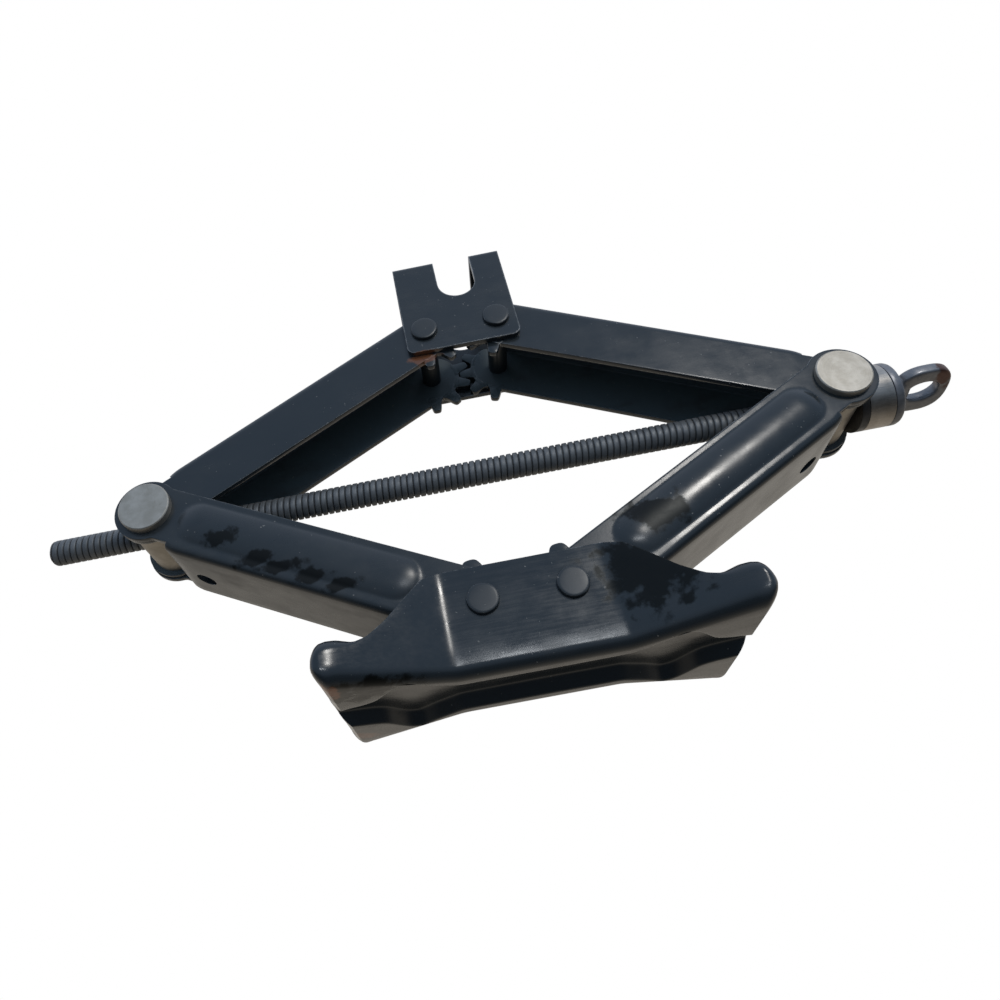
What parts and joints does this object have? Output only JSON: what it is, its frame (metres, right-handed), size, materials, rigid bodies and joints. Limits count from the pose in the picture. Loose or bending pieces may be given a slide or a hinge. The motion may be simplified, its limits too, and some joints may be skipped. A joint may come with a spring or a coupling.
{
  "type": "scissor car jack",
  "caption": "Scissor car jack: stamped channel base, four geared channel arms, slotted saddle, trapezoidal screw with a flat crank eye and thrust bearing.",
  "frame": {"origin": "on the floor, midway between the two base pivots and midway between the side walls", "axes": "+Z is the lifting direction, +X runs along the screw toward the crank eye, -Y is the side shown in front"},
  "size_m": [0.4356, 0.098, 0.2259],
  "materials": {
    "black_paint": "satin",
    "bare_steel": "turned",
    "bright_steel": "polished",
    "dark_steel": "phosphated"
  },
  "bodies": {
    "base": {"base_foot": "black_paint", "base_rivet_left": "black_paint", "base_rivet_right": "black_paint"},
    "lower_right": {"lower_arm_right": "black_paint"},
    "lower_left": {"lower_arm_left": "black_paint"},
    "thrust_end": {"thrust_trunnion": "bare_steel", "thrust_race": "dark_steel", "bearing_balls": "bright_steel", "ball_cage": "dark_steel", "thrust_cup": "bright_steel"},
    "nut_end": {"nut_trunnion": "bare_steel"},
    "upper_right": {"upper_arm_right": "black_paint"},
    "upper_left": {"upper_arm_left": "black_paint"},
    "saddle": {"saddle_bracket": "black_paint", "saddle_rivet_left": "black_paint", "saddle_rivet_right": "black_paint"},
    "screw": {"lead_screw": "dark_steel", "eye_head": "dark_steel"}
  },
  "joints": [
    {"name": "lift", "type": "hinge", "parent": "base", "child": "lower_right", "pos_m": [0.0184, 0, 0.0297], "axis": [0, -1, 0], "range_deg": [-21, 37.4]},
    {"name": "lower_left_pivot", "type": "hinge", "parent": "base", "child": "lower_left", "pos_m": [-0.0184, 0, 0.0297], "axis": [0, 1, 0], "range_deg": [-21, 37.4]},
    {"name": "thrust_trunnion_pivot", "type": "hinge", "parent": "lower_right", "child": "thrust_end", "pos_m": [0.16108, 0, 0.10429], "axis": [0, 1, 0], "range_deg": [-21, 37.4]},
    {"name": "nut_trunnion_pivot", "type": "hinge", "parent": "lower_left", "child": "nut_end", "pos_m": [-0.16108, 0, 0.10429], "axis": [0, -1, 0], "range_deg": [-21, 37.4]},
    {"name": "upper_right_pivot", "type": "hinge", "parent": "lower_right", "child": "upper_right", "pos_m": [0.16108, 0, 0.10429], "axis": [0, 1, 0], "range_deg": [-42, 74.8]},
    {"name": "upper_left_pivot", "type": "hinge", "parent": "lower_left", "child": "upper_left", "pos_m": [-0.16108, 0, 0.10429], "axis": [0, -1, 0], "range_deg": [-42, 74.8]},
    {"name": "saddle_pivot", "type": "hinge", "parent": "upper_right", "child": "saddle", "pos_m": [0.0184, 0, 0.17888], "axis": [0, -1, 0], "range_deg": [-21, 37.4]},
    {"name": "screw_turn", "type": "hinge", "parent": "thrust_end", "child": "screw", "pos_m": [0.16108, 0, 0.10429], "axis": [1, 0, 0], "continuous": true}
  ],
  "couplings": [
    {"joint": "lower_left_pivot", "follows": "lift", "ratio": 1},
    {"joint": "thrust_trunnion_pivot", "follows": "lift", "ratio": 1},
    {"joint": "nut_trunnion_pivot", "follows": "lift", "ratio": 1},
    {"joint": "upper_right_pivot", "follows": "lift", "ratio": 2},
    {"joint": "upper_left_pivot", "follows": "lift", "ratio": 2},
    {"joint": "saddle_pivot", "follows": "lift", "ratio": 1}
  ]
}
